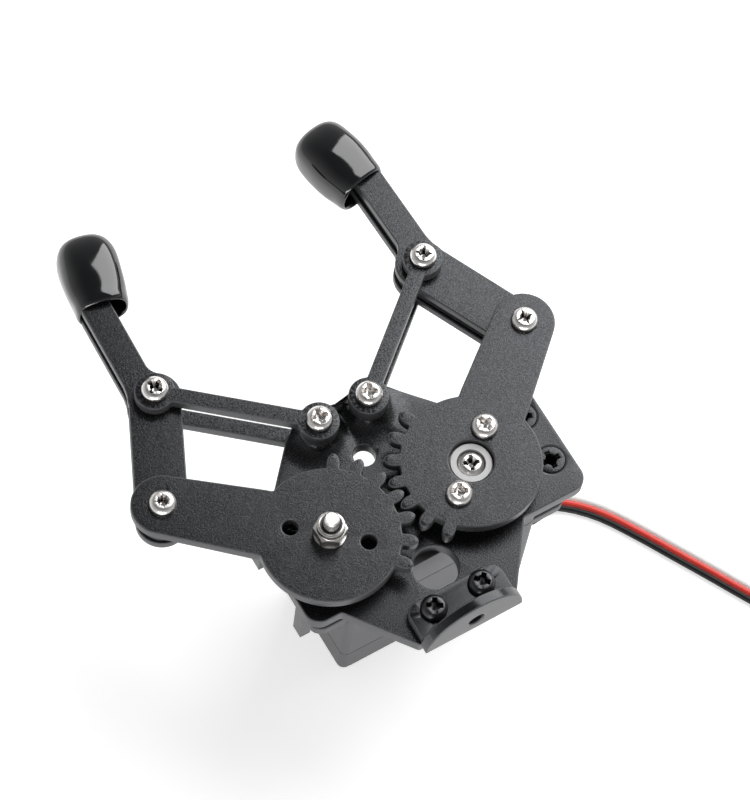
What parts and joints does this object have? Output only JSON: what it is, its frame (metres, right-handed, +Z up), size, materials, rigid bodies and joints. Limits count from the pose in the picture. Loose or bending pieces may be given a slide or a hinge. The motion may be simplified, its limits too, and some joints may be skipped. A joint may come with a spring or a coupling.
{
  "type": "two-finger parallel gripper with servo drive",
  "caption": "Parallel-jaw gripper: meshed gear arms and link bars carry cap-tipped fingers over a flat plate, turned by a servo hung beneath it, with a rear bracket and a flat lead.",
  "frame": {"origin": "on the servo's resting face, midway between the two gear axes in X and on their line in Y", "axes": "+Z up out of the base plate along the gear axes, +Y towards the fingertips, +X towards the servo output axis; mirror pairs lie either side of X = 0"},
  "size_m": [0.1614, 0.1425, 0.0527],
  "materials": {
    "black_plastic": "fine-grained moulded plastic with smoother edges",
    "case_plastic": "smooth moulded plastic",
    "black_vinyl": "glossy dipped vinyl",
    "bright_steel": "bright plated steel",
    "black_steel": "blackened steel",
    "white_nylon": "white nylon",
    "brass": "machined brass",
    "circuit_board": "green board with solder mask",
    "lead_insulation": "flat three-wire ribbon: black inner, red middle and white outer wire"
  },
  "bodies": {
    "base": {"base_plate": "black_plastic", "rear_bracket": "black_plastic", "bracket_screws": "black_steel", "bracket_nuts": "bright_steel", "servo_mount_screws": "black_steel", "servo_mount_nuts": "bright_steel", "servo_bottom_cover": "case_plastic", "servo_middle_case": "case_plastic", "servo_top_cover": "case_plastic", "servo_case_screws": "bright_steel", "servo_motor": "bright_steel", "servo_circuit_board": "circuit_board", "servo_potentiometer": "case_plastic", "servo_gear_pin": "bright_steel", "servo_output_bush": "brass", "lead_grommet": "case_plastic", "servo_lead": "lead_insulation", "servo_lead_coil": "lead_insulation", "lead_connector": "case_plastic", "idler_bolt": "bright_steel", "idler_spacer": "white_nylon", "idler_washer": "bright_steel", "idler_lock_nut": "bright_steel", "base_link_screws": "bright_steel", "base_link_nuts": "bright_steel"},
    "right_arm": {"servo_output_gear": "brass", "potentiometer_shaft": "bright_steel", "servo_horn": "white_nylon", "horn_centre_screw": "bright_steel", "horn_screws": "bright_steel", "right_drive_arm": "black_plastic", "right_arm_screw": "bright_steel", "right_arm_nut": "bright_steel"},
    "left_arm": {"left_drive_arm": "black_plastic", "left_arm_screw": "bright_steel", "left_arm_nut": "bright_steel"},
    "right_finger": {"right_finger": "black_plastic", "right_fingertip_cap": "black_vinyl", "right_link_screw": "bright_steel", "right_link_nut": "bright_steel"},
    "left_finger": {"left_finger": "black_plastic", "left_fingertip_cap": "black_vinyl", "left_link_screw": "bright_steel", "left_link_nut": "bright_steel"},
    "right_links": {"right_upper_link": "black_plastic", "right_lower_link": "black_plastic"},
    "left_links": {"left_upper_link": "black_plastic", "left_lower_link": "black_plastic"},
    "gear_3": {"servo_gear_3": "white_nylon"},
    "gear_2": {"servo_gear_2": "white_nylon"},
    "gear_1": {"servo_gear_1": "white_nylon"},
    "motor_shaft": {"motor_pinion": "brass"}
  },
  "joints": [
    {"name": "right_arm_turn", "type": "hinge", "parent": "base", "child": "right_arm", "pos_m": [0.015, 0, 0.0433], "axis": [0, 0, 1], "range_deg": [-40, 42]},
    {"name": "left_arm_turn", "type": "hinge", "parent": "base", "child": "left_arm", "pos_m": [-0.015, 0, 0.0433], "axis": [0, 0, 1], "range_deg": [-43, 41]},
    {"name": "right_finger_turn", "type": "hinge", "parent": "right_arm", "child": "right_finger", "pos_m": [0.03836, 0.01961, 0.0433], "axis": [0, 0, 1], "range_deg": [-43, 41]},
    {"name": "left_finger_turn", "type": "hinge", "parent": "left_arm", "child": "left_finger", "pos_m": [-0.03836, 0.01961, 0.0433], "axis": [0, 0, 1], "range_deg": [-41, 43]},
    {"name": "right_link_swing", "type": "hinge", "parent": "base", "child": "right_links", "pos_m": [0.00524, 0.02035, 0.0433], "axis": [0, 0, 1], "range_deg": [-41, 43]},
    {"name": "left_link_swing", "type": "hinge", "parent": "base", "child": "left_links", "pos_m": [-0.00524, 0.02035, 0.0433], "axis": [0, 0, 1], "range_deg": [-43, 41]},
    {"name": "gear_3_turn", "type": "hinge", "parent": "base", "child": "gear_3", "pos_m": [0.005, 0, 0.0433], "axis": [0, 0, 1], "range_deg": [-136, 130]},
    {"name": "gear_2_turn", "type": "hinge", "parent": "base", "child": "gear_2", "pos_m": [0.015, 0, 0.0433], "axis": [0, 0, 1], "range_deg": [-410, 430]},
    {"name": "gear_1_turn", "type": "hinge", "parent": "base", "child": "gear_1", "pos_m": [0.005, 0, 0.0433], "axis": [0, 0, 1], "range_deg": [-1361, 1296]},
    {"name": "motor_turn", "type": "hinge", "parent": "base", "child": "motor_shaft", "pos_m": [-0.005, 0, 0.0433], "axis": [0, 0, 1], "range_deg": [-4103, 4308]}
  ],
  "couplings": [
    {"joint": "left_arm_turn", "follows": "right_arm_turn", "ratio": -1},
    {"joint": "right_finger_turn", "follows": "right_arm_turn", "ratio": -1},
    {"joint": "left_finger_turn", "follows": "right_arm_turn", "ratio": 1},
    {"joint": "right_link_swing", "follows": "right_arm_turn", "ratio": 1},
    {"joint": "left_link_swing", "follows": "right_arm_turn", "ratio": -1},
    {"joint": "gear_3_turn", "follows": "right_arm_turn", "ratio": -3.1667},
    {"joint": "gear_2_turn", "follows": "right_arm_turn", "ratio": 10.028},
    {"joint": "gear_1_turn", "follows": "right_arm_turn", "ratio": -31.755},
    {"joint": "motor_turn", "follows": "right_arm_turn", "ratio": 100.56}
  ]
}
